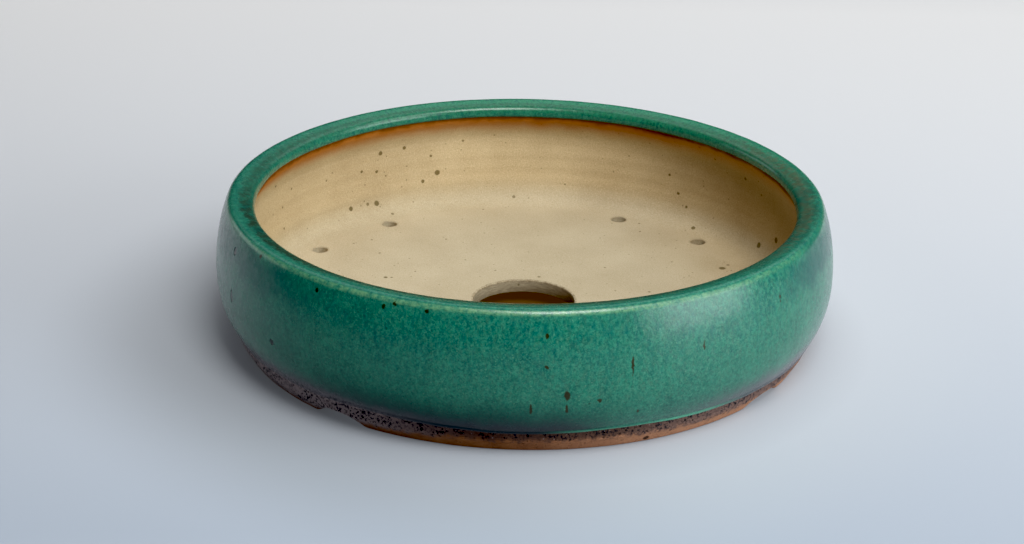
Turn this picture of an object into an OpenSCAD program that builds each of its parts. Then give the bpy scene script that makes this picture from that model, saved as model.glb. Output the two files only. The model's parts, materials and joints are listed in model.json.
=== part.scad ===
// Round, shallow bonsai pot: a flat floor disc inside a thrown wall ring, whose
// thick lip turns in over the planting hollow, four low feet with drainage gaps
// between them, and a coat of green glaze over the wall and the lip.
// Millimetres, +Z up. The origin is on the ground, under the pot's centre.

/* [Body] */
// Widest diameter of the clay, at the belly
belly_d = 222.6; // [210:0.2:236]
// Height of the widest point above the ground
belly_z = 27; // [24:0.5:30]
// Height of the clay, from the ground to the top of the lip
clay_h = 51.6; // [48:0.2:56]
// Thickness of the wall at the belly
wall_t = 8; // [6:0.1:9]

/* [Lip] */
// Width of the lip, from its outer side to the opening
lip_w = 8.6; // [8:0.1:12]
// Height of the lip's upright inner face
lip_face_h = 2.2; // [1.6:0.1:4]
// How far the top of the lip falls towards the opening
lip_fall = 0.9; // [0.2:0.1:2]

/* [Floor] */
// Thickness of the floor disc
floor_t = 5; // [4.4:0.1:8]
// Diameter of the drain hole in the middle
drain_d = 37.4; // [24:0.2:50]
// Diameter of a tie-wire hole
tie_d = 5.6; // [4:0.1:5.8]
// Distance of the tie-wire holes from the pot's centre
tie_ring_r = 91; // [70:0.5:91]
// Angle between the two tie-wire holes of a pair
tie_pair_angle = 24; // [12:1:40]
// Angle by which the two opposite pairs nearest the X axis are off it
tie_skew = 5; // [0:0.5:8]

/* [Feet] */
// Height of the feet
foot_h = 4.4; // [4:0.1:7]
// Outer diameter of the ring of feet, at the ground
foot_d = 204.8; // [196:0.2:206]
// Width of a foot at the ground
foot_w = 7.6; // [6:0.1:8]
// Width of the gap between two feet, at the ground
gap_w = 19.6; // [14:0.2:40]

/* [Glaze] */
// Thickness of the glaze coat
glaze_t = 0.7; // [0.4:0.1:1]
// Height of the bare band between the feet and the glaze
bare_h = 3.6; // [2.6:0.1:3.8]
// Thickness of the roll of glaze along that lower edge
roll_t = 1.05; // [0.8:0.05:1.2]

/* [Hidden] */
$fn = 180;

green = "seagreen";
cream = "tan";
toast = "peru";

belly_r = belly_d / 2;
floor_z = foot_h + floor_t;
drain_r = drain_d / 2;
foot_r = foot_d / 2;
glaze_low_z = foot_h + bare_h;

// The outer side is two quarter ellipses that meet at the belly. Each is given
// by its two half axes: how deep it cuts in, and how far it would reach.
low_curve = [13.8, 23];
high_curve = [23, 40];
step_z = 1.6;

// The lip: its two rounded edges, the lean of the wall where the outer one
// begins, how far below that the side stops, the turns at which the edges meet
// the lip's top, and where the lip's sides stand.
edge_out_r = 2.2;
edge_in_r = 1.8;
lip_lean = 21;
lip_join = 0.2;
edge_out_end = 96;
edge_in_start = 92;
lip_side_z = clay_h - edge_out_r * (1 - sin(lip_lean));
lip_inner_r = outer_r(lip_side_z) - lip_w;
lip_under_z = clay_h - lip_fall - edge_in_r - lip_face_h;

// The hollow is upright from the belly up to here. Above, it curves in under the
// lip. Below, it curves in to the floor. A reach is how far a curve holds to the
// direction it has at its end, as [radius, height].
hollow_top_z = belly_z + 7;
under_reach = [0.2, -3];
top_reach = [-0.4, 7.6];
belly_reach = [0, -11];
cove_reach = [9, 0.3];

// The floor disc's edge, where the cove inside meets the floor, and the corner
// under the wall, a little inside the glaze line above it.
disc_r = 98;
cove_r = 94;
corner_in = 0.2;
corner_r = outer_r(glaze_low_z) - corner_in;

// The gap between two feet is the arch of a cylinder that lies along the
// radius and passes through both feet's top corners.
gap_top_w = 5;
gap_axis_z = (pow(gap_top_w / 2, 2) + pow(foot_h, 2) - pow(gap_w / 2, 2)) / (2 * foot_h);
gap_r = sqrt(pow(gap_w / 2, 2) + pow(gap_axis_z, 2));
foot_edge_r = 0.8;
foot_fillet = 0.4;

// Thickness of the glaze at the two ends of the coat.
glaze_low_t = 0.45;
glaze_high_t = 0.3;

overlap = 1;
quarter = 90;

// ---- Curves ----

// How far an ellipse with these half axes has turned in, a height away.
function turned_in(away, curve) = curve[0] * (1 - sqrt(1 - pow(away / curve[1], 2)));

// Radius of the clay's outer side at a height.
function outer_r(z) =
    belly_r - turned_in(abs(z - belly_z), z < belly_z ? low_curve : high_curve);

// Points on the clay's outer side, from one height up to another.
function side(from_z, to_z) =
    let (n = max(1, round((to_z - from_z) / step_z)))
    [for (i = [0:n]) let (z = from_z + (to_z - from_z) * i / n) [outer_r(z), z]];

// Points on an arc.
function arc(centre, r, from, to, n = 6) =
    [for (i = [0:n])
        let (a = from + (to - from) * i / n)
        centre + r * [cos(a), sin(a)]];

// Points on a cubic curve with two handles, without its first point.
function cubic(a, b, c, d, n = 12) =
    [for (i = [1:n])
        let (t = i / n, s = 1 - t)
        s * s * s * a + 3 * s * s * t * b + 3 * s * t * t * c + t * t * t * d];

function backwards(points) =
    [for (i = [len(points) - 1:-1:0]) points[i]];

// ---- Outlines, as [radius, height] ----

// The clay's face under the glaze: up the side from a height, over the lip and
// down its inner face.
function glazed_face(from_z) =
    concat(
        side(from_z, lip_side_z - lip_join),
        arc(
            [outer_r(lip_side_z), lip_side_z] - edge_out_r * [cos(lip_lean), sin(lip_lean)],
            edge_out_r, lip_lean, edge_out_end
        ),
        arc([lip_inner_r + edge_in_r, lip_under_z + lip_face_h], edge_in_r, edge_in_start, 180),
        [[lip_inner_r, lip_under_z]]
    );

// The hollow's face, from under the lip down into the cove at the floor.
function hollow_face() =
    let (
        under = [lip_inner_r, lip_under_z],
        wall_top = [belly_r - wall_t, hollow_top_z],
        wall_foot = [belly_r - wall_t, belly_z],
        cove = [cove_r, floor_z]
    )
    concat(
        cubic(under, under + under_reach, wall_top + top_reach, wall_top),
        cubic(wall_foot, wall_foot + belly_reach, cove + cove_reach, cove)
    );

// Outward direction of a run of points, at one of them.
function outward(points, i) =
    let (
        a = points[max(i - 1, 0)],
        b = points[min(i + 1, len(points) - 1)],
        d = b - a
    )
    [d[1], -d[0]] / norm(d);

// Thickness of the glaze at one of its points, counted from the lower edge: a
// thick roll first, then the coat, which thins out at its upper end.
function glaze_at(i, last) =
    i == 0 ? glaze_low_t : i == 1 ? roll_t : i == last ? glaze_high_t : glaze_t;

// The glaze's own outer face, over the points of the clay under it.
function glaze_face(points) =
    [for (i = [0:len(points) - 1])
        points[i] + glaze_at(i, len(points) - 1) * outward(points, i)];

// ---- Sub-parts ----

module floor_disc() {
    color(cream)
    difference() {
        translate([0, 0, foot_h])
            cylinder(r = disc_r, h = floor_t);
        translate([0, 0, foot_h - overlap])
            cylinder(r = drain_r, h = floor_t + 2 * overlap);
        for (pair = [0:3], turn = [-1, 1])
            rotate(pair * quarter - (pair % 2 == 0 ? tie_skew : 0) + turn * tie_pair_angle / 2)
            translate([tie_ring_r, 0, foot_h - overlap])
                cylinder(d = tie_d, h = floor_t + 2 * overlap);
    }
}

module wall_ring() {
    color(cream)
    rotate_extrude()
        polygon(concat(
            [[disc_r, foot_h], [corner_r, foot_h]],
            glazed_face(glaze_low_z),
            hollow_face(),
            [[disc_r, floor_z]]
        ));
}

// One foot, from the gap at its first end to the gap a quarter turn on.
module foot(place) {
    color(toast)
    rotate(place * quarter)
    difference() {
        rotate_extrude(angle = quarter)
            polygon(concat(
                arc([foot_r - foot_w + foot_edge_r, foot_edge_r], foot_edge_r, 180, 270),
                arc([foot_r - foot_edge_r, foot_edge_r], foot_edge_r, 270, 350),
                [[corner_r, foot_h], [foot_r - foot_w - foot_fillet, foot_h]]
            ));
        for (end = [0, 1])
            rotate(end * quarter)
            translate([foot_r - 2 * foot_w, 0, gap_axis_z])
            rotate([0, 90, 0])
                cylinder(r = gap_r, h = 3 * foot_w);
    }
}

module glaze_coat() {
    face = glazed_face(glaze_low_z);
    color(green)
    rotate_extrude()
        polygon(concat(glaze_face(face), backwards(face)));
}

floor_disc();
wall_ring();
foot(0);  // foot_1
foot(1);  // foot_2
foot(2);  // foot_3
foot(3);  // foot_4
glaze_coat();
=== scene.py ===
import json
import math

import bmesh
import bpy
import numpy as np
from mathutils import Matrix, Vector, noise
from mathutils.geometry import delaunay_2d_cdt


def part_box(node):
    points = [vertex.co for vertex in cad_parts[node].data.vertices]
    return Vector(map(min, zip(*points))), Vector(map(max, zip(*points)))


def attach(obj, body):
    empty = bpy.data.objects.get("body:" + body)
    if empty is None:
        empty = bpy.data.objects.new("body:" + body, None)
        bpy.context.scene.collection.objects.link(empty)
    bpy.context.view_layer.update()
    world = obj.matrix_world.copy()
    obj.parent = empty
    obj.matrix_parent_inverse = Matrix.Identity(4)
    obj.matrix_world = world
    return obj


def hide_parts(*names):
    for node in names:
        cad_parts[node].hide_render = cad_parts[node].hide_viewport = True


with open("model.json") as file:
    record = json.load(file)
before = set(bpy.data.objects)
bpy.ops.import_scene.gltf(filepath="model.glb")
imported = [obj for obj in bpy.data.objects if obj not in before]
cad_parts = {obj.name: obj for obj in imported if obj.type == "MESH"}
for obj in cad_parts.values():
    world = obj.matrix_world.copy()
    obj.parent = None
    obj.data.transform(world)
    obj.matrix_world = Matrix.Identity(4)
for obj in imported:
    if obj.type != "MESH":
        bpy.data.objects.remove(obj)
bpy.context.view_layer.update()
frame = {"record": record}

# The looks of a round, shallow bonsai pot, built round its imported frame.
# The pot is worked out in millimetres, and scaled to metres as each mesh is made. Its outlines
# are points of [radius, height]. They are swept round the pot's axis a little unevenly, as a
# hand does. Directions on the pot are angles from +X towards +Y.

MM = 0.001

# ----------------------------------------------------------------------
# The pot's sizes: first those that the frame holds, then the CAD's own numbers
# ----------------------------------------------------------------------


def span(node):
    """A node's lowest and highest corner, in millimetres."""
    low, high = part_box(node)
    return low / MM, high / MM


BELLY_R = span("wall_ring")[1].x
CLAY_H = span("wall_ring")[1].z
TOP_Z = span("glaze_coat")[1].z
DISC_R = span("floor_disc")[1].x
FLOOR_Z = span("floor_disc")[1].z
FOOT_H = span("foot_1")[1].z

# The drain hole and the tie-wire holes, as [x, y, radius]. Only the first is large.
HOLES = [
    (mount["pos_m"][0] / MM, mount["pos_m"][1] / MM, mount["dims"]["r_mm"])
    for mount in frame["record"]["mounts"]
    if mount["kind"] == "bore"
]
LARGEST_TIE_R = 5

BELLY_Z = 27
WALL_T = 8
LOW_CURVE = (13.8, 23)
HIGH_CURVE = (23, 40)
BARE_H = 3.6
CORNER_IN = 0.2

LIP_W = 8.6
LIP_FACE_H = 2.2
LIP_FALL = 0.9
LIP_LEAN = 21
LIP_JOIN = 0.2
EDGE_OUT_R = 2.2
EDGE_OUT_END = 96
EDGE_IN_R = 1.8
EDGE_IN_START = 92

HOLLOW_TOP_Z = BELLY_Z + 7
UNDER_REACH = (0.2, -3)
TOP_REACH = (-0.4, 7.6)
BELLY_REACH = (0, -11)
COVE_REACH = (9, 0.3)
COVE_R = 94

GLAZE_T = 0.7
# The roll is a hair thicker than the CAD's, because it comes and goes round the pot.
ROLL_T = 1.1

FOOT_R = 102.4
FOOT_W = 7.6
FOOT_FILLET = 0.4
FOOT_EDGE_R = 0.8
GAP_W = 19.6
GAP_TOP_W = 5

GLAZE_Z = FOOT_H + BARE_H
LIP_SIDE_Z = CLAY_H - EDGE_OUT_R * (1 - math.sin(math.radians(LIP_LEAN)))
LIP_UNDER_Z = CLAY_H - LIP_FALL - EDGE_IN_R - LIP_FACE_H
GAP_AXIS_Z = ((GAP_TOP_W / 2) ** 2 + FOOT_H**2 - (GAP_W / 2) ** 2) / (2 * FOOT_H)
GAP_R = math.hypot(GAP_W / 2, GAP_AXIS_Z)


def outer_r(z):
    """Radius of the clay's outer side at a height."""
    deep, reach = LOW_CURVE if z < BELLY_Z else HIGH_CURVE
    return BELLY_R - deep * (1 - math.sqrt(1 - ((z - BELLY_Z) / reach) ** 2))


CORNER_R = outer_r(GLAZE_Z) - CORNER_IN
LIP_INNER_R = outer_r(LIP_SIDE_Z) - LIP_W

# ----------------------------------------------------------------------
# Outlines
# ----------------------------------------------------------------------


def side(low_z, high_z, step=0.8):
    """Points up the clay's outer side."""
    count = round((high_z - low_z) / step) + 1
    return [(outer_r(z), z) for z in np.linspace(low_z, high_z, count)]


def arc(centre, radius, start, end, count=12):
    """Points on an arc. The angles are in degrees."""
    return [
        (centre[0] + radius * math.cos(a), centre[1] + radius * math.sin(a))
        for a in np.radians(np.linspace(start, end, count + 1))
    ]


def cubic(start, start_reach, end_reach, end, count=24):
    """Points on a cubic curve, without its first. A reach is a handle, from its own end."""
    a, d = np.array(start, float), np.array(end, float)
    b, c = a + start_reach, d + end_reach
    return [
        tuple((1 - t) ** 3 * a + 3 * (1 - t) ** 2 * t * b + 3 * (1 - t) * t * t * c + t**3 * d)
        for t in np.linspace(0, 1, count + 1)[1:]
    ]


def glazed_face(low_z):
    """The clay's face under the glaze: up the side, over the lip and down its inner face."""
    lean = math.radians(LIP_LEAN)
    outer_edge = (
        outer_r(LIP_SIDE_Z) - EDGE_OUT_R * math.cos(lean),
        LIP_SIDE_Z - EDGE_OUT_R * math.sin(lean),
    )
    inner_edge = (LIP_INNER_R + EDGE_IN_R, LIP_UNDER_Z + LIP_FACE_H)
    return (
        side(low_z, LIP_SIDE_Z - LIP_JOIN)
        + arc(outer_edge, EDGE_OUT_R, LIP_LEAN, EDGE_OUT_END)
        + arc(inner_edge, EDGE_IN_R, EDGE_IN_START, 180)
        + [(LIP_INNER_R, LIP_UNDER_Z)]
    )


def hollow_face():
    """The hollow's face, from under the lip down into the cove at the floor."""
    under_lip = (LIP_INNER_R, LIP_UNDER_Z)
    wall_top = (BELLY_R - WALL_T, HOLLOW_TOP_Z)
    wall_foot = (BELLY_R - WALL_T, BELLY_Z)
    return (
        [under_lip]
        + cubic(under_lip, UNDER_REACH, TOP_REACH, wall_top)
        + cubic(wall_foot, BELLY_REACH, COVE_REACH, (COVE_R, FLOOR_Z))
    )


def even(points, step):
    """The same outline with a point about every step, as an array. Its ends stay."""
    p = np.array(points, float)
    along = np.concatenate([[0], np.cumsum(np.linalg.norm(np.diff(p, axis=0), axis=1))])
    marks = np.linspace(0, along[-1], max(2, round(along[-1] / step) + 1))
    return np.column_stack([np.interp(marks, along, p[:, k]) for k in (0, 1)])


def outward(points):
    """Unit normals of an outline that runs with its solid on the left."""
    d = np.gradient(points, axis=0)
    n = np.column_stack([d[:, 1], -d[:, 0]])
    return n / np.linalg.norm(n, axis=1)[:, None]


# ----------------------------------------------------------------------
# Meshes
# ----------------------------------------------------------------------

AROUND = 720
ANGLES = np.linspace(0, 2 * math.pi, AROUND, endpoint=False)

# How far inside the true circle the wall lies on average, which keeps it in the CAD's box,
# and how far it leans in and out in long and in short waves.
MEAN_INSET = 0.18
LONG_LEAN = 0.16
SHORT_LEAN = 0.05


def wander(angle, waves, seed):
    """A smooth value between -1 and 1 that wanders as it goes round the pot."""
    rng = np.random.default_rng(seed)
    parts = [(rng.uniform(0.5, 1), wave, rng.uniform(0, 2 * math.pi)) for wave in waves]
    total = sum(height for height, _, _ in parts)
    return sum(height * np.sin(wave * angle + turn) for height, wave, turn in parts) / total


def rough(points, size, seed):
    """Smooth noise between about -1 and 1 at points, with lumps of about a size."""
    seed_shift = seed * 17.3
    flat = (np.asarray(points).reshape(-1, 3) / size + seed_shift).tolist()
    return np.array([noise.noise(Vector(p)) for p in flat]).reshape(np.shape(points)[:-1])


def rounded(share):
    """The height of a quarter circle, at a share of the way along it."""
    share = np.clip(share, 0, 1)
    return np.sqrt(share * (2 - share))


def unround(angle, z):
    """How far off the true circle the hand left the wall at an angle and a height."""
    lean = wander(angle, (2, 3), 11) * LONG_LEAN + wander(angle, (4, 5, 7), 12) * SHORT_LEAN
    return lean * np.clip(z / CLAY_H, 0.1, 1) - MEAN_INSET


def swept(r, z, angle):
    """Points [x, y, z], from arrays of radius, height and angle."""
    r, z, angle = np.broadcast_arrays(r, z, angle)
    r = r + unround(angle, z)
    return np.stack([r * np.cos(angle), r * np.sin(angle), z], axis=-1)


def make_piece(name, points, faces, replaced, materials, sharp=38):
    """A smooth-shaded mesh piece from points in millimetres. It rides on the one body."""
    mesh = bpy.data.meshes.new(name)
    mesh.from_pydata((np.asarray(points) * MM).reshape(-1, 3).tolist(), [], faces)
    mesh.validate()
    mesh.polygons.foreach_set("use_smooth", [True] * len(mesh.polygons))
    mesh.set_sharp_from_angle(angle=math.radians(sharp))
    for material in materials:
        mesh.materials.append(material)
    piece = bpy.data.objects.new(name, mesh)
    bpy.context.scene.collection.objects.link(piece)
    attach(piece, "root")
    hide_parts(replaced)
    return piece


def lathe_faces(rows):
    """Quads of a closed outline of so many points, swept all the way round."""
    faces = []
    for i in range(rows):
        a, b = i * AROUND, (i + 1) % rows * AROUND
        faces += [
            (a + j, a + (j + 1) % AROUND, b + (j + 1) % AROUND, b + j) for j in range(AROUND)
        ]
    return faces


# ----------------------------------------------------------------------
# Pieces
# ----------------------------------------------------------------------


def make_wall(materials):
    """The clay wall: a bare band at its foot, a lip, and throwing lines in its hollow."""
    # The faces are smallest on the bare band, which ends a little above the glaze's edge.
    covered_z = GLAZE_Z + 5
    seat_step, bare_step, covered_step, hollow_step = 1.5, 0.4, 1.6, 0.7
    bare_face = [(CORNER_R, FOOT_H), (outer_r(GLAZE_Z), GLAZE_Z), *side(GLAZE_Z, covered_z)]
    seat = even([(DISC_R, FOOT_H), (CORNER_R, FOOT_H)], seat_step)
    bare = np.concatenate([seat, even(bare_face, bare_step)[1:]])
    under_glaze = even(glazed_face(covered_z), covered_step)[1:]
    hollow = even(hollow_face(), hollow_step)[1:]
    outline = np.concatenate([bare, under_glaze, hollow, [(DISC_R, FLOOR_Z)]])
    r, z = outline[:, 0][:, None], outline[:, 1][:, None]
    turn = ANGLES[None, :]
    points = swept(r, z, turn)

    # The throwing lines are a spiral of shallow ridges that dies out at the cove and the lip.
    rows = np.arange(len(outline))[:, None]
    inside = (rows >= len(bare) + len(under_glaze)) & (rows < len(outline) - 2)
    cove_fade, lip_fade = 8, 3
    fade = np.clip((z - FLOOR_Z) / cove_fade, 0, 1) * np.clip((LIP_UNDER_Z - z) / lip_fade, 0, 1)
    (broad_h, broad_rate), (fine_h, fine_rate) = (0.04, 1.15), (0.02, 2.9)
    ridge = broad_h * np.sin(z * broad_rate + turn) + fine_h * np.sin(z * fine_rate - turn)
    lines = np.where(inside, ridge * fade, 0)
    # The bare band outside, and the cove inside, are a little lumpy.
    seat_clear, lump_h, lump_size = 0.2, 0.10, 2.2
    low_down = (rows >= len(seat)) & (z > FOOT_H + seat_clear) & (z < covered_z)
    lumps = np.where(low_down, lump_h * rough(points, lump_size, 1), 0)
    direction = np.stack([np.cos(turn), np.sin(turn), 0 * turn], axis=-1)
    points = points + (lines + lumps)[..., None] * direction
    piece = make_piece(
        "wall_clay", points, lathe_faces(len(outline)), "wall_ring", materials
    )
    # The faces of the bare rows have the second material.
    of_row = [1 if i < len(bare) else 0 for i in range(len(outline)) for _ in range(AROUND)]
    piece.data.polygons.foreach_set("material_index", of_row)
    return piece


# The glaze's lower edge: how far it lies above the CAD's, how far it wanders up and down in
# long and in short waves, and where it was wiped higher (angle, half width, rise).
LINE_LIFT = 0.6
LINE_LONG_WAVE = 0.25
LINE_SHORT_WAVE = 0.15
LINE_RISES = [(-84, 11, 2.4), (-103, 9, 1.8), (-68, 8, 0.7), (-35, 9, 1.2), (-3, 7, 0.6)]
# How far the upper edge wanders, the direction where the roll is thickest, the coat's
# unevenness, and how far its back lies inside the clay.
TOP_LINE_WAVE = 0.35
THICKEST_ROLL = -30
COAT_SWELL = 0.05
COAT_SINK = 0.12


def near_angle(turn, middle, half):
    """1 at an angle, falling smoothly to 0 on both sides. The last two are in degrees."""
    away = (np.degrees(turn) - middle + 180) % 360 - 180
    return np.exp(-((away / half) ** 2))


def make_glaze(materials):
    """The glaze: a coat with a thick roll at its lower edge, which wanders up and down."""
    step, lowest = 0.05, 1.2
    clay = even(glazed_face(GLAZE_Z - lowest), step)
    normals = outward(clay)
    along = np.arange(len(clay)) * step
    low = along[np.argmin(abs(clay[:, 1] - GLAZE_Z))]
    high = along[-1]

    turn = ANGLES[None, :]
    start = low + LINE_LONG_WAVE * wander(turn, (3, 5, 9, 14), 21)
    start = start + LINE_SHORT_WAVE * wander(turn, (23, 31, 44), 22) + LINE_LIFT
    start = start + sum(rise * near_angle(turn, middle, half) for middle, half, rise in LINE_RISES)
    end = high + TOP_LINE_WAVE * (wander(turn, (2, 5, 7, 12), 23) - 1)
    # Rows crowd at the lower edge, to shape the roll.
    crowded_h, crowded_rows, rows = 3.0, 14, 105
    near = np.linspace(0, 1, crowded_rows) ** 1.3 * crowded_h
    far = np.linspace(0, 1, rows)[1:]
    distance = np.concatenate([
        np.broadcast_to(near[:, None], (len(near), AROUND)),
        near[-1] + far[:, None] * (end - start - near[-1]),
    ])
    place = start + distance

    roll_h = 1.9 + 0.5 * wander(turn, (4, 7, 11), 24)
    crown = 0.42
    roll = np.clip(1 - (distance / roll_h - crown) ** 2 / crown**2, 0, 1)
    roll = roll * np.clip(0.4 + 0.8 * np.cos(turn - math.radians(THICKEST_ROLL)), 0.25, 1)
    # Both ends are rounded. The upper one thins out to a quarter.
    low_round, high_round = 0.55, 0.9
    ends = rounded(distance / low_round) * (0.25 + 0.75 * rounded((end - place) / high_round))
    thick = (GLAZE_T + (ROLL_T - GLAZE_T) * roll) * ends

    def on_clay(values):
        return [np.interp(values, along, column) for column in (*clay.T, *normals.T)]

    r, z, nr, nz = on_clay(place)
    body = swept(r, z, turn)
    swell = rough(body * (1, 1, 0.6), 9, 2) * np.clip(distance / 4, 0, 1)
    thick = thick + COAT_SWELL * swell
    # The top stays a hair below the CAD's.
    outer = swept(r + nr * thick, np.minimum(z + nz * thick, TOP_Z - 0.01), turn)
    # The back needs fewer rows.
    every = 6
    r, z, nr, nz = on_clay(place[::-every])
    points = np.concatenate([outer, swept(r - nr * COAT_SINK, z - nz * COAT_SINK, turn)])
    return make_piece(
        "glaze_coat_glass", points, lathe_faces(len(points)), "glaze_coat", materials
    )


def floor_relief(x, y):
    """Height of the throwing lines on the pot's floor."""
    r = np.hypot(x, y)
    turn = np.arctan2(y, x)
    (fine_h, fine_w), (broad_h, broad_w) = (0.015, 1.25), (0.03, 3.1)
    return fine_h * np.sin(r / fine_w + turn) + broad_h * np.sin(r / broad_w - turn + 1.0)


def make_floor(materials):
    """The floor disc, with rounded rims at its drain hole and tie-wire holes."""
    # Rings of points go round each hole, and rows of them over the rest of the disc.
    rim_rings = (0.07, 0.2, 0.4, 0.9, 1.8)
    first_row_r, row_step, point_step = 20.5, 1.3, 1.5
    clear, rim_clear, weld = 0.6, 0.5, 1e-6
    points, edges = [], []

    def ring(x, y, r, count, joined=False):
        first = len(points)
        for a in np.linspace(0, 2 * math.pi, count, endpoint=False):
            points.append(Vector((x + r * math.cos(a), y + r * math.sin(a))))
        if joined:
            edges.extend((first + i, first + (i + 1) % count) for i in range(count))
        return list(range(first, first + count))

    rims = []
    for x, y, r in HOLES:
        count = max(40, round(r * 9))
        rims.append(ring(x, y, r, count, joined=True))
        for offset in rim_rings:
            if math.hypot(x, y) + r + offset < DISC_R - rim_clear:
                ring(x, y, r + offset, count)
    rim = ring(0, 0, DISC_R, AROUND // 2, joined=True)
    for r in np.arange(first_row_r, DISC_R - clear, row_step):
        count = round(2 * math.pi * r / point_step)
        for a in np.linspace(0, 2 * math.pi, count, endpoint=False):
            p = Vector((r * math.cos(a + r), r * math.sin(a + r)))
            if all(math.hypot(p.x - x, p.y - y) > h + rim_rings[-1] + clear for x, y, h in HOLES):
                points.append(p)

    flat, _, triangles, origin, _, _ = delaunay_2d_cdt(points, edges, [], 0, weld)
    flat = np.array([tuple(p) for p in flat])
    where = {source: i for i, sources in enumerate(origin) for source in sources}

    def open_space(tri):
        x, y = flat[list(tri)].mean(0)
        return any(math.hypot(x - hx, y - hy) < h for hx, hy, h in HOLES)

    triangles = [tuple(tri) for tri in triangles if not open_space(tri)]
    x, y = flat[:, 0], flat[:, 1]
    gap = np.min([np.hypot(x - hx, y - hy) - h for hx, hy, h in HOLES], axis=0)
    bevel = 0.4
    drop = bevel - np.sqrt(np.clip(bevel**2 - (bevel - np.clip(gap, 0, bevel)) ** 2, 0, None))
    cove_fade = 6
    fade = np.clip((COVE_R - np.hypot(x, y)) / cove_fade, 0, 1)
    swell_h, swell_size, bottom_share = 0.03, 14, 0.6
    swell = swell_h * rough(np.stack([x, y, 0 * x], axis=-1), swell_size, 3)
    top = FLOOR_Z + (floor_relief(x, y) + swell) * fade - drop
    bottom = FOOT_H + drop * bottom_share
    n = len(flat)
    solid = [(*p, z) for p, z in zip(flat, top)] + [(*p, z) for p, z in zip(flat, bottom)]
    faces = triangles + [tuple(n + i for i in reversed(tri)) for tri in triangles]
    for loop, inward in [(hole, True) for hole in rims] + [(rim, False)]:
        loop = [where[i] for i in loop]
        for a, b in zip(loop, loop[1:] + loop[:1]):
            faces.append((a, b, n + b, n + a) if inward else (b, a, n + a, n + b))
    return make_piece("floor_clay", solid, faces, "floor_disc", materials, sharp=50)


def gap_half_width(z):
    """Half the width of the arched gap between two feet, at a height."""
    return np.sqrt(np.clip(GAP_R**2 - (z - GAP_AXIS_Z) ** 2, 0, None))


def make_foot(number, materials):
    """One foot: a curved bar whose rounded ends follow the arches of the gaps."""
    # Rows of points crowd at the foot's ends, over the length where they are soft.
    ends = np.array([0, 0.06, 0.2, 0.45, 0.8, 1.2, 1.8])
    soft = ends[-1]
    soft_inset = soft * 0.55
    steps = 110
    quarter = math.pi / 2
    first = (number - 1) * quarter

    # Heights up one side of the section, and how far its rounded edge is set back there.
    edge = np.radians(np.linspace(0, 90, 7))
    straight = np.linspace(FOOT_EDGE_R, FOOT_H, 9)[1:]
    heights = np.concatenate([FOOT_EDGE_R * (1 - np.cos(edge)), straight])
    setback = np.concatenate([FOOT_EDGE_R * (1 - np.sin(edge)), 0 * straight])
    outer = FOOT_R + (CORNER_R - FOOT_R) * heights / FOOT_H - setback
    inner = FOOT_R - FOOT_W - FOOT_FILLET * heights / FOOT_H + setback
    m = len(heights)

    def section(share):
        """Radii, heights and start angles of the section's points, at a share of the soft
        length. It is drawn in at 0, which is the foot's end, and whole at 1."""
        inset = soft_inset * (1 - math.sqrt(1 - (1 - share) ** 2))
        held = 1 - (heights / FOOT_H) ** 2
        z = heights + inset * held * (1 - heights / FOOT_H)
        rs = np.concatenate([outer - inset * held, (inner + inset * held)[::-1]])
        zs = np.concatenate([z, z[::-1]])
        return rs, zs, np.arcsin(gap_half_width(zs) / rs)

    points = []
    for away in ends:
        rs, zs, start = section(away / soft)
        points.append(swept(rs, zs, first + (start + away / rs)))
    rs, zs, start = section(1)
    low, high = start + soft / rs, quarter - start - soft / rs
    for i in range(1, steps):
        points.append(swept(rs, zs, first + (low + (high - low) * (i / steps))))
    for away in ends[::-1]:
        rs, zs, start = section(away / soft)
        points.append(swept(rs, zs, first + (quarter - start - away / rs)))
    points = np.array(points)
    # Lumpy from the knife and the sponge, but true where the foot meets the wall and the table.
    hold = np.clip(1 - abs(points[..., 2] - FOOT_H / 2) / (FOOT_H / 2), 0, 1) ** 0.5
    (small_h, small_size), (large_h, large_size) = (0.12, 2.4), (0.18, 9)
    lumps = small_h * rough(points, small_size, 4) + large_h * rough(points, large_size, 5)
    across = points[..., :2] / np.linalg.norm(points[..., :2], axis=-1)[..., None]
    points[..., :2] += across * (lumps * hold)[..., None]

    count = 2 * m
    last = (len(points) - 1) * count
    faces = []
    for a in range(0, last, count):
        b = a + count
        faces += [(a + j, b + j, b + (j + 1) % count, a + (j + 1) % count) for j in range(count)]
    for base in (0, last):
        for j in range(m - 1):
            quad = (base + j, base + j + 1, base + count - 2 - j, base + count - 1 - j)
            faces.append(quad[::-1] if base else quad)
    return make_piece(
        f"foot_{number}_clay", points, faces, f"foot_{number}", materials, sharp=60
    )


# ----------------------------------------------------------------------
# Materials. Lengths are in millimetres, directions in degrees, and colours are linear RGB
# ----------------------------------------------------------------------


# How a shift moves noise and specks along the three axes.
NOISE_SHIFT = (1, 1.7, 0.6)
SPECK_SHIFT = (1, 0.7, 1.3)


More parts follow.
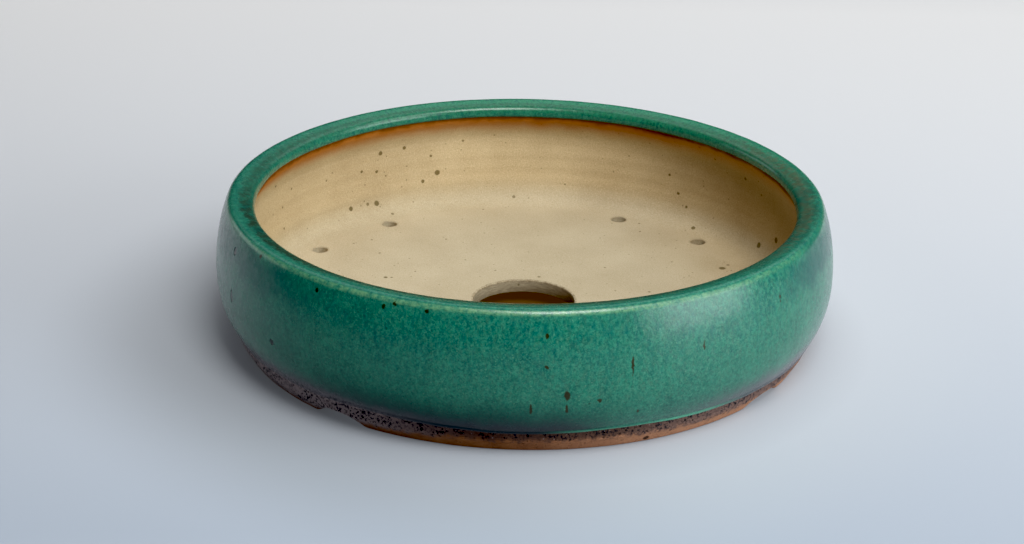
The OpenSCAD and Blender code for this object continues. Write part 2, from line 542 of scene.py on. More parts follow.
class Shade:
    """One procedural material. Its methods add nodes and give back the last one's output."""

    def __init__(self, name):
        self.material = bpy.data.materials.new(name)
        self.material.use_nodes = True
        self.nodes = self.material.node_tree.nodes
        self.links = self.material.node_tree.links
        self.shader = self.nodes["Principled BSDF"]
        place = self.nodes.new("ShaderNodeTexCoord").outputs["Object"]
        self.mm = self.vector("SCALE", place, scale=1 / MM)
        split = self.nodes.new("ShaderNodeSeparateXYZ")
        self.feed(split.inputs[0], self.mm)
        self.x, self.y, self.z = split.outputs
        x_squared = self.calc("MULTIPLY", self.x, self.x)
        y_squared = self.calc("MULTIPLY", self.y, self.y)
        self.r = self.calc("SQRT", self.calc("ADD", x_squared, y_squared))
        self.angle = self.calc("ARCTAN2", self.y, self.x)

    def feed(self, socket, value):
        if isinstance(value, bpy.types.NodeSocket):
            self.links.new(value, socket)
        else:
            socket.default_value = value

    def calc(self, operation, a, b=0.0):
        node = self.nodes.new("ShaderNodeMath")
        node.operation = operation
        for socket, value in zip(node.inputs, (a, b)):
            self.feed(socket, value)
        return node.outputs[0]

    def vector(self, operation, a, b=(0, 0, 0), scale=1.0):
        node = self.nodes.new("ShaderNodeVectorMath")
        node.operation = operation
        self.feed(node.inputs[0], a)
        if operation == "SCALE":
            self.feed(node.inputs["Scale"], scale)
        else:
            self.feed(node.inputs[1], b)
        return node.outputs["Value" if operation == "LENGTH" else "Vector"]

    def noise(self, size, detail=3.0, roughness=0.5, stretch=(1, 1, 1), shift=0.0):
        """Noise from 0 to 1 with features of a size, longer along stretch's large axes."""
        scaled = self.vector("MULTIPLY", self.mm, tuple(1 / (size * s) for s in stretch))
        moved = self.vector("ADD", scaled, tuple(shift * s for s in NOISE_SHIFT))
        node = self.nodes.new("ShaderNodeTexNoise")
        self.feed(node.inputs["Vector"], moved)
        node.inputs["Scale"].default_value = 1.0
        node.inputs["Detail"].default_value = detail
        node.inputs["Roughness"].default_value = roughness
        return node.outputs["Fac"]

    def specks(self, cell, low, high, shift=0.0, share=1.0):
        """A mask of round specks, one in a share of the cells. Radii run from low to high."""
        scaled = self.vector("SCALE", self.mm, scale=1 / cell)
        moved = self.vector("ADD", scaled, tuple(shift * s for s in SPECK_SHIFT))
        node = self.nodes.new("ShaderNodeTexVoronoi")
        self.feed(node.inputs["Vector"], moved)
        node.inputs["Scale"].default_value = 1.0
        parts = self.nodes.new("ShaderNodeSeparateXYZ")
        self.feed(parts.inputs[0], node.outputs["Color"])
        distance = self.calc("MULTIPLY", node.outputs["Distance"], cell)
        radius = self.between(parts.outputs[0], low, high)
        shown = self.calc("LESS_THAN", parts.outputs[1], share)
        speck = self.blot(self.calc("DIVIDE", distance, radius), 1.15)
        return self.calc("MULTIPLY", speck, shown)

    def wobbly(self, size, reach):
        """The position, shaken by noise, for ragged edges."""
        scaled = self.vector("SCALE", self.mm, scale=1 / size)
        node = self.nodes.new("ShaderNodeTexNoise")
        self.feed(node.inputs["Vector"], scaled)
        node.inputs["Scale"].default_value = 1.0
        node.inputs["Detail"].default_value = 2.0
        shake = self.vector("SUBTRACT", node.outputs["Color"], (0.5, 0.5, 0.5))
        return self.vector("ADD", self.mm, self.vector("SCALE", shake, scale=2 * reach))

    def spots(self, place, marks):
        """A mask of marks, each [x, y, z, half width, half height]."""
        result = None
        for x, y, z, half_w, half_h in marks:
            offset = self.vector("SUBTRACT", place, (x, y, z))
            offset = self.vector("MULTIPLY", offset, (1 / half_w, 1 / half_w, 1 / half_h))
            mask = self.blot(self.vector("LENGTH", offset), 1.25)
            result = mask if result is None else self.calc("MAXIMUM", result, mask)
        return result

    def ramp(self, value, low, high, out_low=0.0, out_high=1.0, smooth=False):
        node = self.nodes.new("ShaderNodeMapRange")
        node.interpolation_type = "SMOOTHSTEP" if smooth else "LINEAR"
        for socket, number in zip(node.inputs, (value, low, high, out_low, out_high)):
            self.feed(socket, number)
        return node.outputs[0]

    def between(self, mask, low, high):
        """A mask from 0 to 1, made to run from low to high."""
        return self.ramp(mask, 0, 1, low, high)

    def blot(self, away, end):
        """1 near 0, with a soft edge that ends a little beyond a distance of 1."""
        return self.ramp(away, end, 0.75, 0, 1, smooth=True)

    def band(self, value, middle, half, soft):
        """1 within half of the middle, and softly 0 outside."""
        away = self.calc("ABSOLUTE", self.calc("SUBTRACT", value, middle))
        return self.ramp(away, half + soft, half, 0, 1, smooth=True)

    def facing(self, degrees, spread):
        """1 on the side of the pot that faces a direction, 0 beyond spread degrees from it."""
        turn = self.calc("COSINE", self.calc("SUBTRACT", self.angle, math.radians(degrees)))
        return self.ramp(turn, math.cos(math.radians(spread)), 1, 0, 1, smooth=True)

    def multiply(self, *values):
        result = values[0]
        for value in values[1:]:
            result = self.calc("MULTIPLY", result, value)
        return result

    def highest(self, *values):
        result = values[0]
        for value in values[1:]:
            result = self.calc("MAXIMUM", result, value)
        return result

    def mix(self, factor, a, b, blend="MIX"):
        node = self.nodes.new("ShaderNodeMix")
        node.data_type = "RGBA"
        node.blend_type = blend
        self.feed(node.inputs[0], factor)
        for socket, colour in ((node.inputs[6], a), (node.inputs[7], b)):
            self.feed(socket, colour if isinstance(colour, bpy.types.NodeSocket) else (*colour, 1))
        return node.outputs[2]

    def tint(self, factor, colour, tone):
        """A colour, multiplied by a tone where the factor is 1."""
        return self.mix(factor, colour, self.mix(1.0, colour, tone, blend="MULTIPLY"))

    def bump(self, height, distance, under=None):
        """A bump from heights of 0 to 1, so deep, on top of another bump."""
        node = self.nodes.new("ShaderNodeBump")
        node.inputs["Strength"].default_value = 1.0
        node.inputs["Distance"].default_value = distance * MM
        self.feed(node.inputs["Height"], height)
        if under is not None:
            self.feed(node.inputs["Normal"], under)
        return node.outputs[0]

    def finish(self, colour, roughness, normal):
        self.feed(self.shader.inputs["Base Color"], colour)
        self.feed(self.shader.inputs["Roughness"], roughness)
        self.feed(self.shader.inputs["Normal"], normal)
        return self.material


def on_wall(r, marks):
    """Marks of [angle, height, half width, half height], placed on a wall of a radius."""
    placed = []
    for angle, z, half_w, half_h in marks:
        a = math.radians(angle)
        placed.append((r * math.cos(a), r * math.sin(a), z, half_w, half_h))
    return placed


def on_glaze(marks):
    """The same, placed on the glaze's outer face."""
    return [on_wall(outer_r(mark[1]) + GLAZE_T / 2, [mark])[0] for mark in marks]


# Iron streaks, a blob with a tail, and dots in the glaze: angle, height, half width, half height.
IRON_STREAKS = [
    (-35, 33, 0.4, 3.8), (-52, 20, 0.5, 3.6), (-46, 20, 0.45, 3.0), (-21.5, 35.5, 0.4, 2.2),
    (-2.5, 42, 0.45, 2),
]
IRON_DOTS = [
    (-46, 24.5, 1.0, 1.7), (-49.5, 34.5, 0.6, 0.6), (-49.5, 44.5, 0.6, 1),
    (-40.5, 22, 0.6, 0.7), (-33.5, 16, 0.5, 0.8),
]
LIP_DOTS = [
    (-78, 49, 0.8, 0.8), (-76, 50.4, 0.7, 0.7), (-70, 49.6, 0.8, 0.8), (-92, 48.2, 0.8, 0.8),
    (-109, 50, 0.8, 0.8),
]
PITS = [(-119, 45, 1.1, 1.4), (-118, 29.5, 0.9, 2.2), (-102.5, 24.2, 0.9, 1.0)]

# The larger iron specks in the clay inside: angle, height, half width, half height.
WALL_SPECKS = [
    (147, 23, 1.1, 1.1), (150.5, 20, 0.8, 0.8), (161, 35, 0.9, 0.9), (155, 35.5, 0.7, 0.7),
    (172, 40, 0.8, 0.8), (-165.5, 38, 0.8, 0.8), (92.5, 28, 0.6, 0.6), (90, 21, 0.6, 0.6),
    (87.5, 16.5, 0.7, 0.7), (57.5, 20, 1.1, 1.1), (162, 27.5, 0.6, 0.6), (166, 29, 0.6, 0.6),
    (148.5, 30.5, 0.6, 0.6),
]
LOW_SPECKS = [(162.5, 14.5, 1.1, 1.1), (169.5, 15, 0.9, 0.9), (63.5, 14, 1.2, 1.2)]
WALL_SPECK_R = 103
LOW_SPECK_R = 102
# Those on the floor and its cove: x, y, z, half width, half height.
FLOOR_SPECKS = [
    (41, 72, FLOOR_Z, 1.3, 1.3), (-53, -16, FLOOR_Z, 0.8, 0.8), (11, 98, FLOOR_Z + 1, 0.9, 0.9),
]
FOOT_SPOT = (-30, 1.8, 1.1, 1.0)
FOOT_SPOT_R = 103.4

# Radii of three rings on the lip's top: its crest, its inner half and its inner edge.
CREST_R = 107.0
INNER_HALF_R = 100.9
INNER_EDGE_R = 99.6

# The directions of the pot's left and right ends, as the photo shows it.
LEFT = 240
RIGHT = 36


def glaze_body(s):
    """The glaze's green: clouds, fine flecks and pits, and flow lines. Also its grain."""
    broad = s.noise(34, 2, 0.5, shift=1)
    cloud = s.noise(9, 4, 0.6, stretch=(1, 1, 1.6), shift=4)
    grain = s.noise(1.3, 3, 0.65, shift=9)
    colour = s.mix(s.ramp(cloud, 0.3, 0.7), (0.012, 0.110, 0.076), (0.023, 0.178, 0.112))
    colour = s.mix(s.ramp(broad, 0.35, 0.7, 0, 0.5), colour, (0.018, 0.135, 0.100))
    # Greener on the top of the lip at the back.
    top = s.multiply(s.ramp(s.z, 48.5, 50.2), s.between(s.facing(112, 95), 0, 0.8))
    colour = s.mix(top, colour, (0.022, 0.225, 0.105))
    # Olive in front and teal up the shoulder.
    olive = s.multiply(
        s.ramp(s.noise(1.5, 4, 0.65, stretch=(1, 1, 1.4), shift=71), 0.44, 0.68),
        s.between(s.facing(-15, 80), 0.35, 1),
        s.ramp(s.z, 13, 25, 0.2, 1),
    )
    colour = s.mix(s.multiply(olive, 0.42), colour, (0.085, 0.175, 0.115))
    teal = s.multiply(
        s.ramp(s.noise(2.0, 4, 0.68, stretch=(1, 1, 2.0), shift=77), 0.45, 0.64),
        s.ramp(s.z, 30, 44, 0.25, 1),
        s.ramp(s.z, 50, 47.5),
    )
    colour = s.mix(s.multiply(teal, 0.60), colour, (0.002, 0.115, 0.100))
    # Fine texture: pale grain and flecks, dark pits, frosty specks and a few dark ones.
    colour = s.mix(s.ramp(grain, 0.42, 0.64, 0, 0.5, smooth=True), colour, (0.045, 0.25, 0.165))
    fleck = s.ramp(s.noise(0.6, 2, 0.6, shift=43), 0.50, 0.66, 0, 0.50)
    colour = s.mix(fleck, colour, (0.070, 0.24, 0.16))
    pinhole = s.ramp(s.noise(0.8, 2, 0.6, shift=47), 0.52, 0.68, 0, 0.55)
    colour = s.mix(pinhole, colour, (0.004, 0.070, 0.056))
    pale = s.specks(1.3, 0.12, 0.30, shift=3, share=0.55)
    frosty = s.ramp(s.noise(18, 2, 0.5, shift=6), 0.4, 0.6, 0.10, 0.40)
    colour = s.mix(s.multiply(pale, frosty), colour, (0.15, 0.34, 0.22))
    dark = s.specks(6.5, 0.2, 0.5, shift=8, share=0.35)
    colour = s.mix(s.multiply(dark, 0.7), colour, (0.010, 0.05, 0.03))
    # Vertical flow, strongest on the shoulder.
    flow = s.noise(1.2, 3, 0.6, stretch=(1, 1, 4), shift=14)
    shoulder = s.ramp(s.z, 24, 42, 0.15, 0.6)
    streaks = s.multiply(s.ramp(flow, 0.50, 0.68), shoulder)
    return s.mix(streaks, colour, (0.006, 0.085, 0.078)), grain


def glaze_lip(s, colour):
    """Thin and pale on the lip's crest, with a painted highlight there, and brown and broken along
    its inner half.
    """
    broken = s.ramp(s.noise(1.6, 4, 0.7, shift=21), 0.36, 0.64, 0.1, 1, smooth=True)
    # A pale line on the crest: thin glaze, with a painted highlight on the front side.
    crest = s.multiply(
        s.band(s.r, CREST_R, 0.3, 0.6),
        s.ramp(s.z, 50.0, 50.8),
        broken,
        s.between(s.facing(-60, 80), 0.15, 0.85),
    )
    colour = s.mix(s.multiply(crest, 0.7), colour, (0.18, 0.36, 0.18))
    streak = s.multiply(
        s.band(s.r, INNER_HALF_R, 1.2, 1.3), s.facing(243, 30), s.ramp(s.z, 49.6, 50.3)
    )
    patchy = s.ramp(s.noise(2.8, 4, 0.7, shift=26), 0.36, 0.60, 0, 1, smooth=True)
    colour = s.mix(s.multiply(streak, patchy, 0.9), colour, (0.014, 0.028, 0.020))
    sides = s.highest(s.multiply(s.facing(222, 60), 0.5), s.facing(RIGHT, 50))
    worn = s.multiply(
        s.band(s.r, INNER_HALF_R, 1.4, 2.2), s.ramp(s.z, 49.8, 50.5), sides, patchy
    )
    worn = s.multiply(worn, 0.75)
    brown = s.mix(s.facing(RIGHT, 70), (0.040, 0.050, 0.034), (0.105, 0.105, 0.060))
    colour = s.mix(worn, colour, brown)
    cloudy = s.ramp(s.noise(3.4, 3, 0.6, shift=83), 0.36, 0.56, 0, 1, smooth=True)
    smudge = s.multiply(
        s.band(s.r, 103.2, 1.2, 2.0), s.facing(33, 24), s.ramp(s.z, 49.8, 50.6), cloudy
    )
    colour = s.mix(s.multiply(smudge, 0.5), colour, (0.040, 0.068, 0.045))
    inner = s.multiply(
        s.band(s.r, INNER_EDGE_R, 1.2, 1.8), s.ramp(s.z, 48.5, 49.8), s.between(broken, 0.5, 1)
    )
    inner = s.multiply(inner, s.between(s.facing(-70, 75), 0.45, 0.85))
    return s.mix(inner, colour, (0.026, 0.052, 0.030))


def glaze_sides(s, colour):
    """Painted shade under the shoulder at the left and the right, and smoky mauve or blue-black
    above the lower edge.
    """
    # Painted shade: darker under the shoulder, at the left and the right ends.
    uneven = s.calc("ADD", s.z, s.ramp(s.noise(12, 3, 0.6, shift=81), 0.3, 0.7, -2.5, 2.5))
    shoulder_shade = s.highest(s.multiply(s.facing(-126, 40), 0.9), s.facing(22, 28))
    shoulder_shade = s.multiply(shoulder_shade, s.band(uneven, 44.5, 2.5, 5.0))
    colour = s.mix(s.multiply(shoulder_shade, 0.8), colour, (0.001, 0.072, 0.064))

    shaken = s.noise(7, 4, 0.6, stretch=(1, 1, 1.5), shift=31)
    height = s.calc("SUBTRACT", s.z, s.calc("MULTIPLY", s.calc("SUBTRACT", shaken, 0.5), 6))
    smoky = s.highest(s.facing(LEFT, 75), s.facing(14, 48), 0.12)
    mauve = s.multiply(s.ramp(height, 19, 9.5, 0, 1, smooth=True), smoky)
    colour = s.mix(s.multiply(mauve, 0.9), colour, (0.085, 0.070, 0.090))
    # In front it darkens in three steps: green, then dusk, then nearly black.
    front = s.highest(s.facing(-62, 26), s.multiply(s.facing(-78, 26), 0.8))
    deep = s.multiply(s.ramp(height, 24, 13, 0, 1, smooth=True), s.facing(-66, 36))
    colour = s.mix(s.multiply(deep, 0.92), colour, (0.000, 0.042, 0.033))
    dusk = s.multiply(s.ramp(height, 16, 10.5, 0, 1, smooth=True), front)
    colour = s.mix(s.multiply(dusk, 0.88), colour, (0.010, 0.014, 0.026))
    night = s.multiply(s.ramp(height, 12.5, 9.5, 0, 1, smooth=True), front)
    colour = s.mix(s.multiply(night, 0.85), colour, (0.004, 0.009, 0.014))
    # Frayed at the left, where the crust shows through.
    frayed = s.multiply(s.ramp(height, 14.5, 10.5, 0, 1, smooth=True), s.facing(252, 42))
    colour = s.mix(s.multiply(frayed, 0.8), colour, (0.17, 0.14, 0.15))
    bits = s.ramp(s.noise(0.9, 3, 0.6, shift=35), 0.51, 0.58, 0, 1, smooth=True)
    return s.mix(s.multiply(s.multiply(frayed, bits), 0.95), colour, (0.006, 0.006, 0.012))


def glaze_material():
    """Satin green glaze: mottled, thin and pale with painted highlights where it breaks over
    edges, with painted shade under the shoulder, smoky low down.
    """
    s = Shade("green_glaze")
    colour, grain = glaze_body(s)
    colour = glaze_lip(s, colour)
    colour = glaze_sides(s, colour)
    # The roll's lower edge is thin and pale on the lit side: thin glaze, with a painted highlight.
    roll = s.multiply(s.ramp(s.z, 9.9, 9.2, 0, 1, smooth=True), s.facing(-30, 21))
    colour = s.mix(s.multiply(roll, 0.6), colour, (0.10, 0.40, 0.25))
    # Brown where it thins out inside the lip.
    thin = s.multiply(s.ramp(s.z, 47.8, 46.8, smooth=True), s.ramp(s.r, 101, 99.5))
    colour = s.mix(thin, colour, (0.040, 0.030, 0.010))

    place = s.wobbly(1.4, 0.65)
    iron = s.spots(place, on_glaze(IRON_STREAKS + IRON_DOTS + LIP_DOTS))
    colour = s.mix(s.multiply(iron, 0.94), colour, (0.026, 0.019, 0.003))
    # Painted shade darkens the pits, which the bump below also dents.
    pits = s.spots(place, on_glaze(PITS))
    colour = s.mix(s.multiply(pits, 0.95), colour, (0.001, 0.012, 0.016))

    roughness = s.ramp(s.noise(4, 3, 0.6, shift=51), 0.3, 0.7, 0.20, 0.31)
    normal = s.bump(s.noise(5, 2, 0.5, shift=61), 0.10)
    normal = s.bump(grain, 0.05, under=normal)
    normal = s.bump(s.calc("SUBTRACT", 1.0, pits), 0.5, under=normal)
    s.shader.inputs["Specular IOR Level"].default_value = 0.30
    s.shader.inputs["Coat Weight"].default_value = 0.32
    s.shader.inputs["Coat Roughness"].default_value = 0.28
    s.feed(s.shader.inputs["Coat Normal"], normal)
    return s.finish(colour, roughness, normal)


def clay_specks(s, colour, small, middling):
    """The drain hole's wall, dark with painted shade, and its rim, the tie-wire holes' dents,
    darkened with painted shade, and the iron specks.
    """
    # Painted shade: the drain hole's wall is dark brown, darkest on the right, and streaked.
    bore = s.multiply(s.ramp(s.r, 19.4, 18.9), s.ramp(s.z, FLOOR_Z - 0.2, FLOOR_Z - 1.0))
    lines = s.noise(1.1, 3, 0.7, stretch=(2.5, 2.5, 0.5), shift=87)
    streaks = s.ramp(lines, 0.35, 0.65, 0.72, 1.15)
    bore_shade_colour = s.mix(s.facing(20, 75), (0.38, 0.325, 0.225), (0.22, 0.160, 0.095))
    colour = s.mix(bore, colour, s.vector("SCALE", bore_shade_colour, scale=streaks))
    broken = s.ramp(s.noise(1.3, 3, 0.7, shift=89), 0.38, 0.62, 0.15, 1)
    rim = s.multiply(
        s.band(s.r, 18.9, 0.35, 0.5), s.ramp(s.z, FLOOR_Z - 1.2, FLOOR_Z - 0.7), broken
    )
    colour = s.mix(s.multiply(rim, 0.65), colour, (0.16, 0.115, 0.060))
    # Painted shade darkens the dents round the tie-wire holes.
    dent_places = [(x, y, FLOOR_Z, 3.3, 2.0) for x, y, r in HOLES if r < LARGEST_TIE_R]
    dents = s.spots(s.wobbly(2.0, 0.4), dent_places)
    colour = s.mix(s.multiply(dents, 0.50), colour, (0.26, 0.21, 0.13))
    marks = on_wall(WALL_SPECK_R, WALL_SPECKS) + on_wall(LOW_SPECK_R, LOW_SPECKS) + FLOOR_SPECKS
    named = s.spots(s.wobbly(1.5, 0.35), marks)
    spots = s.highest(
        s.multiply(small, 0.50), s.multiply(middling, 0.68), s.multiply(named, 0.85)
    )
    return s.mix(spots, colour, (0.12, 0.092, 0.034))


def inside_clay():
    """Bare buff stoneware with brown iron specks, toasted orange under the glazed lip."""
    s = Shade("buff_clay")
    broad = s.ramp(s.noise(22, 3, 0.55, shift=2), 0.3, 0.7)
    colour = s.mix(broad, (0.465, 0.39, 0.262), (0.535, 0.46, 0.32))
    lines = s.noise(1.6, 2, 0.5, stretch=(16, 16, 1), shift=5)
    colour = s.mix(s.ramp(lines, 0.4, 0.7, 0, 0.03), colour, (0.35, 0.26, 0.15))
    fine = s.noise(0.7, 2, 0.6, shift=7)
    colour = s.mix(s.ramp(fine, 0.55, 0.75, 0, 0.25), colour, (0.35, 0.25, 0.14))
    grain = s.noise(0.45, 2, 0.6, shift=27)
    colour = s.mix(s.ramp(grain, 0.30, 0.46, 0.45, 0), colour, (0.66, 0.60, 0.45))
    colour = s.mix(s.ramp(grain, 0.54, 0.70, 0, 0.40), colour, (0.30, 0.24, 0.13))
    small = s.specks(3.2, 0.15, 0.42, shift=3, share=0.6)
    middling = s.specks(7, 0.35, 0.75, shift=6, share=0.55)
    colour = clay_specks(s, colour, small, middling)

    # Painted shade darkens the inner wall on the right, and about half as much on the left, more
    # towards the top. The wall is warmer than the floor.
    shaded_sides = s.highest(s.facing(188, 48), s.facing(54, 50))
    risen = s.ramp(s.z, 6, 30, 0, 1, smooth=True)
    painted_wall_shade = s.multiply(shaded_sides, risen, s.between(s.facing(54, 60), 0.52, 1))
    colour = s.tint(painted_wall_shade, colour, (0.70, 0.64, 0.55))
    colour = s.tint(s.ramp(s.z, 10, 20, 0, 0.8, smooth=True), colour, (1.12, 1.03, 0.90))
    # Painted light: a paler band across the back wall.
    pale = s.multiply(s.facing(122, 34), s.band(s.z, 27, 6, 9), s.ramp(s.r, 95, 97))
    colour = s.tint(pale, colour, (1.13, 1.13, 1.12))
    # Painted shade: the floor on the right, in the lip's shadow, is darker and warmer.
    floor_shade_right = s.multiply(s.facing(40, 62), s.ramp(s.r, 56, 92), s.ramp(s.z, 14, 10))
    colour = s.tint(floor_shade_right, colour, (0.97, 0.92, 0.83))
    # Painted shade: a little darker in the cove at the left.
    cove = s.multiply(s.band(s.z, 13.5, 2.5, 6), s.ramp(s.r, 92, 97), s.facing(190, 75))
    colour = s.tint(cove, colour, (0.87, 0.86, 0.84))

    # The orange halo under the lip, and its scorched upper edge.
    height = s.calc("ADD", s.z, s.ramp(s.noise(9, 3, 0.6, shift=9), 0.2, 0.8, -0.9, 0.9))
    on_the_wall = s.ramp(s.r, 95, 97)
    dim = s.between(s.facing(46, 56), 1, 0.45)
    halo = s.multiply(s.ramp(height, 38.0, 46.0, 0, 1, smooth=True), on_the_wall, dim)
    colour = s.mix(s.multiply(halo, 0.92), colour, (0.40, 0.130, 0.014))
    scorch = s.multiply(s.ramp(height, 44.8, 46.8, 0, 1, smooth=True), on_the_wall)
    colour = s.mix(s.multiply(scorch, 0.85), colour, (0.12, 0.04, 0.008))
    # The underside is toasted near its edge.
    below = s.ramp(s.r, 91.5, 94.5, 0, 1, smooth=True)
    below = s.multiply(below, s.ramp(s.z, FOOT_H + 0.6, FOOT_H + 0.2))
    colour = s.mix(s.multiply(below, 0.9), colour, (0.20, 0.085, 0.038))

    normal = s.bump(s.noise(0.9, 3, 0.7, shift=8), 0.10)
    normal = s.bump(lines, 0.03, under=normal)
    s.shader.inputs["Specular IOR Level"].default_value = 0.25
    return s.finish(colour, s.ramp(fine, 0.3, 0.7, 0.78, 0.92), normal)


def toasted_clay():
    """Bare stoneware outside: orange below, with a black crust of iron under the glaze."""
    s = Shade("toasted_clay")
    cloud = s.noise(7, 4, 0.6, shift=3)
    colour = s.mix(s.ramp(cloud, 0.3, 0.7), (0.170, 0.064, 0.026), (0.28, 0.122, 0.052))
    # Lighter towards the front right: partly the clay's own tone, partly painted light on the lit
    # side.
    colour = s.mix(s.multiply(s.facing(-8, 52), 0.85), colour, (0.49, 0.245, 0.145))
    fine = s.noise(0.8, 3, 0.65, shift=6)
    colour = s.mix(s.ramp(fine, 0.5, 0.72, 0, 0.45), colour, (0.15, 0.06, 0.03))

    # The crust reaches further down at the left than in front, and the foot is dustier and paler
    # there: pale dust, and painted light against the shade under the belly.
    left = s.facing(LEFT, 60)
    colour = s.mix(s.multiply(left, 0.45), colour, (0.26, 0.19, 0.17))
    shaken = s.calc("SUBTRACT", s.noise(3.0, 5, 0.7, shift=12), 0.5)
    level = s.calc("ADD", s.z, s.calc("MULTIPLY", shaken, 6.5))
    level = s.calc("ADD", level, s.multiply(left, 3.3))
    level = s.calc("ADD", level, s.multiply(s.facing(-8, 30), 1.0))
    crust = s.ramp(level, 3.4, 6.0, 0, 1, smooth=True)
    # Pale at the left: dust, and painted light against the shade under the belly.
    dust_and_painted_light = s.highest(left, s.multiply(s.facing(-5, 35), 0.12))
    dust_and_light_colour = s.mix(dust_and_painted_light, (0.062, 0.036, 0.032), (0.42, 0.35, 0.36))
    colour = s.mix(s.multiply(crust, 0.8), colour, dust_and_light_colour)

    # Grit: ragged black clusters high up, black specks, and a few pale ones.
    clusters = s.ramp(s.noise(5.0, 2, 0.5, shift=33), 0.36, 0.54, 0.3, 1)
    ragged = s.ramp(s.noise(0.9, 3, 0.6, shift=35), 0.50, 0.57, 0, 1, smooth=True)
    ragged = s.multiply(ragged, clusters)
    upper = s.ramp(level, 4.0, 6.2, 0, 1, smooth=True)
    colour = s.mix(s.multiply(ragged, upper, 0.95), colour, (0.006, 0.006, 0.012))
    grit = s.specks(1.5, 0.20, 0.50, shift=4, share=0.6)
    colour = s.mix(s.multiply(grit, s.between(crust, 0.10, 0.9)), colour, (0.004, 0.004, 0.007))
    pale_grit = s.specks(1.2, 0.12, 0.3, shift=24, share=0.4)
    colour = s.mix(s.multiply(pale_grit, crust, 0.6), colour, (0.30, 0.24, 0.24))
    spots = s.specks(8, 0.3, 0.7, shift=17, share=0.4)
    named = s.spots(s.wobbly(1.2, 0.3), on_wall(FOOT_SPOT_R, [FOOT_SPOT]))
    colour = s.mix(s.multiply(s.highest(spots, named), 0.9), colour, (0.02, 0.01, 0.008))
    hem = s.calc("SUBTRACT", s.z, s.multiply(left, 0.7))
    hem = s.ramp(hem, 1.0, 0.1, 0, 0.75, smooth=True)
    colour = s.mix(hem, colour, s.mix(left, (0.20, 0.055, 0.014), (0.26, 0.12, 0.06)))

    normal = s.bump(fine, 0.22)
    normal = s.bump(grit, 0.25, under=normal)
    s.shader.inputs["Specular IOR Level"].default_value = 0.3
    roughness = s.ramp(s.calc("ADD", fine, crust), 0.3, 1.6, 0.85, 0.5)
    return s.finish(colour, roughness, normal)


# Two level directions on the table: towards its far side, and towards its right.
FARWARD = (-0.595, 0.804)
RIGHTWARD = (0.804, 0.595)


def table_material():
    """A pale light table, cooler in front and whiter further back, with a soft sheen. Its glow is
    painted light, strongest round the pot, and a dark brown disc of painted shade lies under the
    pot.
    """
    s = Shade("pale_table")

    def along(direction):
        x, y = direction
        return s.calc("ADD", s.calc("MULTIPLY", s.x, x), s.calc("MULTIPLY", s.y, y))

    depth = s.ramp(along(FARWARD), -160, 420)
    near = s.ramp(s.r, 185, 112, 0, 1, smooth=True)
    # A dark brown disc of painted shade under the pot, which gives a faint brown painted glow.
    under = s.ramp(s.r, 96, 92)
    # Near the pot the table's own colour is darker, to offset its painted glow.
    far_tone = s.mix(depth, (0.375, 0.428, 0.505), (0.84, 0.84, 0.85))
    near_tone = s.mix(depth, (0.22, 0.245, 0.275), (0.53, 0.54, 0.56))
    colour = s.mix(under, s.mix(near, far_tone, near_tone), (0.06, 0.034, 0.014))
    # Painted light: the table glows, faintly at the back and most round the pot, to fill the pot's
    # shadow.
    painted_glow_far = s.mix(depth, (0, 0, 0), (0.08, 0.08, 0.08))
    painted_fill_near = s.mix(depth, (0.185, 0.203, 0.228), (0.24, 0.24, 0.25))
    # The painted glow is brighter on the right, weaker on the left, and dimmer by the foot as
    # painted contact shade.
    lit = s.ramp(along(RIGHTWARD), -120, 70, 0.33, 1.4, smooth=True)
    painted_fill_near = s.vector("SCALE", painted_fill_near, scale=s.multiply(lit, s.ramp(s.r, 102, 128, 0.65, 1)))
    painted_glow = s.mix(under, s.mix(near, painted_glow_far, painted_fill_near), (0.052, 0.027, 0.008))
    s.feed(s.shader.inputs["Base Color"], colour)
    s.feed(s.shader.inputs["Emission Color"], painted_glow)
    s.shader.inputs["Emission Strength"].default_value = 1.0
    s.shader.inputs["Roughness"].default_value = 0.45
    return s.material


# ----------------------------------------------------------------------
# Stage, light and camera
# ----------------------------------------------------------------------

CAMERA_AZIMUTH = math.radians(36.5)
CAMERA_ELEVATION = math.radians(22.2)
CAMERA_ROLL = math.radians(1.07)
CAMERA_DISTANCE = 0.80
LENS_MM = 77.0
SENSOR_MM = 36.0
POT_MIDDLE = Vector((0, 0, 0.030))
AIM_LEFT = 0.0046
AIM_DOWN = 0.0088
TABLE_R = 9

SKY_COLOUR = (0.9, 0.96, 1.0, 1)
SKY_STRENGTH = 0.035
BLACK_LEVEL = (0.02, 0.02, 0.02)

# Soft lights: name, turn from the right towards the front, rise, distance, width, height,
# power and colour. The angles are in degrees, and the lengths in metres.
LIGHTS = [
    ("key", 68, 60, 1.3, 0.55, 0.55, 12.2, (1.0, 0.99, 0.98)),
    ("top", 85, 74, 1.3, 0.55, 0.55, 2.8, (1.0, 0.98, 0.96)),
    ("window", 19, 44, 1.4, 0.85, 0.95, 7.0, (0.96, 1.0, 0.99)),
    ("low_right", 26, 14, 1.5, 1.0, 0.7, 11.8, (0.93, 0.98, 1.0)),
    ("back", 270, 50, 1.4, 1.7, 0.8, 3.1, (0.97, 0.98, 1.0)),
    ("left_card", 208, 14, 1.5, 1.0, 0.5, 2.0, (0.95, 0.97, 1.0)),
]


def camera_axes():
    """The camera's right and up, and the direction it looks, before it is rolled."""
    a, e = CAMERA_AZIMUTH, CAMERA_ELEVATION
    right = Vector((math.cos(a), math.sin(a), 0))
    forward = Vector((-math.sin(a) * math.cos(e), math.cos(a) * math.cos(e), -math.sin(e)))
    return right, right.cross(forward), forward


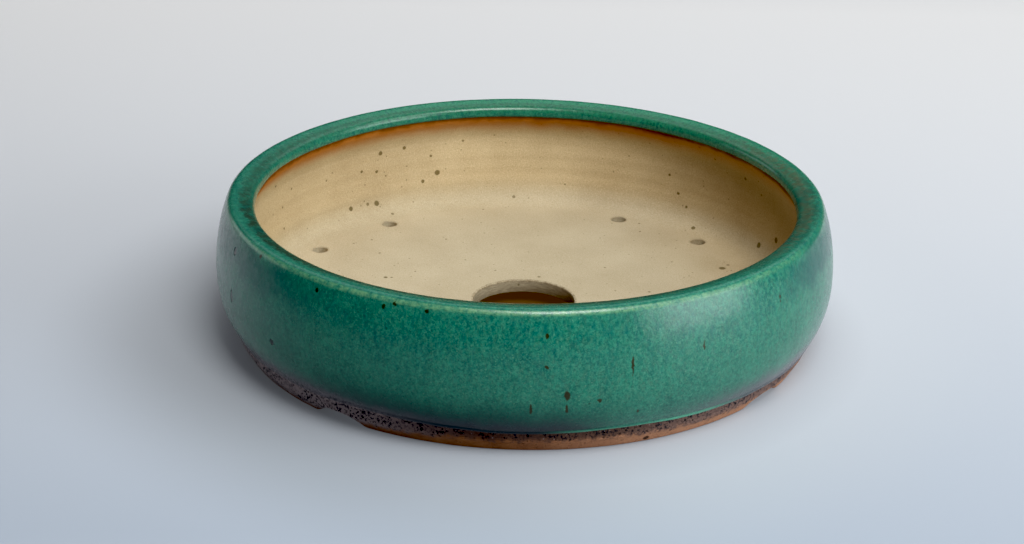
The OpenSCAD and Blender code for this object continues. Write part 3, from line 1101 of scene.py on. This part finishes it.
def make_camera():
    """The camera looks at a point a little left of and below the pot's middle."""
    right, up, forward = camera_axes()
    place = POT_MIDDLE - forward * CAMERA_DISTANCE
    rolled_right = right * math.cos(CAMERA_ROLL) + up * math.sin(CAMERA_ROLL)
    rolled_up = up * math.cos(CAMERA_ROLL) - right * math.sin(CAMERA_ROLL)
    aim = POT_MIDDLE - rolled_right * AIM_LEFT - rolled_up * AIM_DOWN
    forward = (aim - place).normalized()
    right = (rolled_right - forward * rolled_right.dot(forward)).normalized()
    up = right.cross(forward)
    data = bpy.data.cameras.new("camera")
    data.lens = LENS_MM
    data.sensor_width = SENSOR_MM
    data.clip_start = 0.01
    data.clip_end = 50
    camera = bpy.data.objects.new("camera", data)
    bpy.context.scene.collection.objects.link(camera)
    turned = Matrix((right, up, -forward)).transposed().to_4x4()
    camera.matrix_world = Matrix.Translation(place) @ turned
    bpy.context.scene.camera = camera


def make_table():
    """A wide round table top."""
    mesh = bpy.data.meshes.new("table")
    bm = bmesh.new()
    bmesh.ops.create_circle(bm, cap_ends=True, segments=96, radius=TABLE_R)
    bm.to_mesh(mesh)
    bm.free()
    mesh.materials.append(table_material())
    table = bpy.data.objects.new("table", mesh)
    bpy.context.scene.collection.objects.link(table)


def soft_light(name, turn, rise, distance, width, height, power, colour):
    """A soft rectangular light that shines at the pot's foot."""
    right, _, forward = camera_axes()
    near = Vector((-forward.x, -forward.y, 0)).normalized()
    turn, rise = math.radians(turn), math.radians(rise)
    level = right * math.cos(turn) + near * math.sin(turn)
    direction = level * math.cos(rise) + Vector((0, 0, math.sin(rise)))
    data = bpy.data.lights.new(name, "AREA")
    data.shape = "RECTANGLE"
    data.size = width
    data.size_y = height
    data.energy = power
    data.color = colour
    light = bpy.data.objects.new(name, data)
    bpy.context.scene.collection.objects.link(light)
    light.location = direction * distance
    light.rotation_mode = "QUATERNION"
    light.rotation_quaternion = direction.to_track_quat("Z", "Y")


def make_light():
    """Two soft lights above the front, a window and a low light at the right, and two fills."""
    scene = bpy.context.scene
    scene.view_settings.view_transform = "Standard"
    scene.view_settings.use_curve_mapping = True
    scene.view_settings.curve_mapping.black_level = BLACK_LEVEL
    scene.view_settings.curve_mapping.update()
    world = bpy.data.worlds.new("studio")
    world.use_nodes = True
    background = world.node_tree.nodes["Background"]
    background.inputs["Color"].default_value = SKY_COLOUR
    background.inputs["Strength"].default_value = SKY_STRENGTH
    scene.world = world
    for light in LIGHTS:
        soft_light(*light)


# ----------------------------------------------------------------------

make_camera()
make_light()
make_table()

glaze = glaze_material()
buff = inside_clay()
toasted = toasted_clay()
make_wall([buff, toasted])
make_glaze([glaze])
make_floor([buff])
for foot_number in range(1, 5):
    make_foot(foot_number, [toasted])
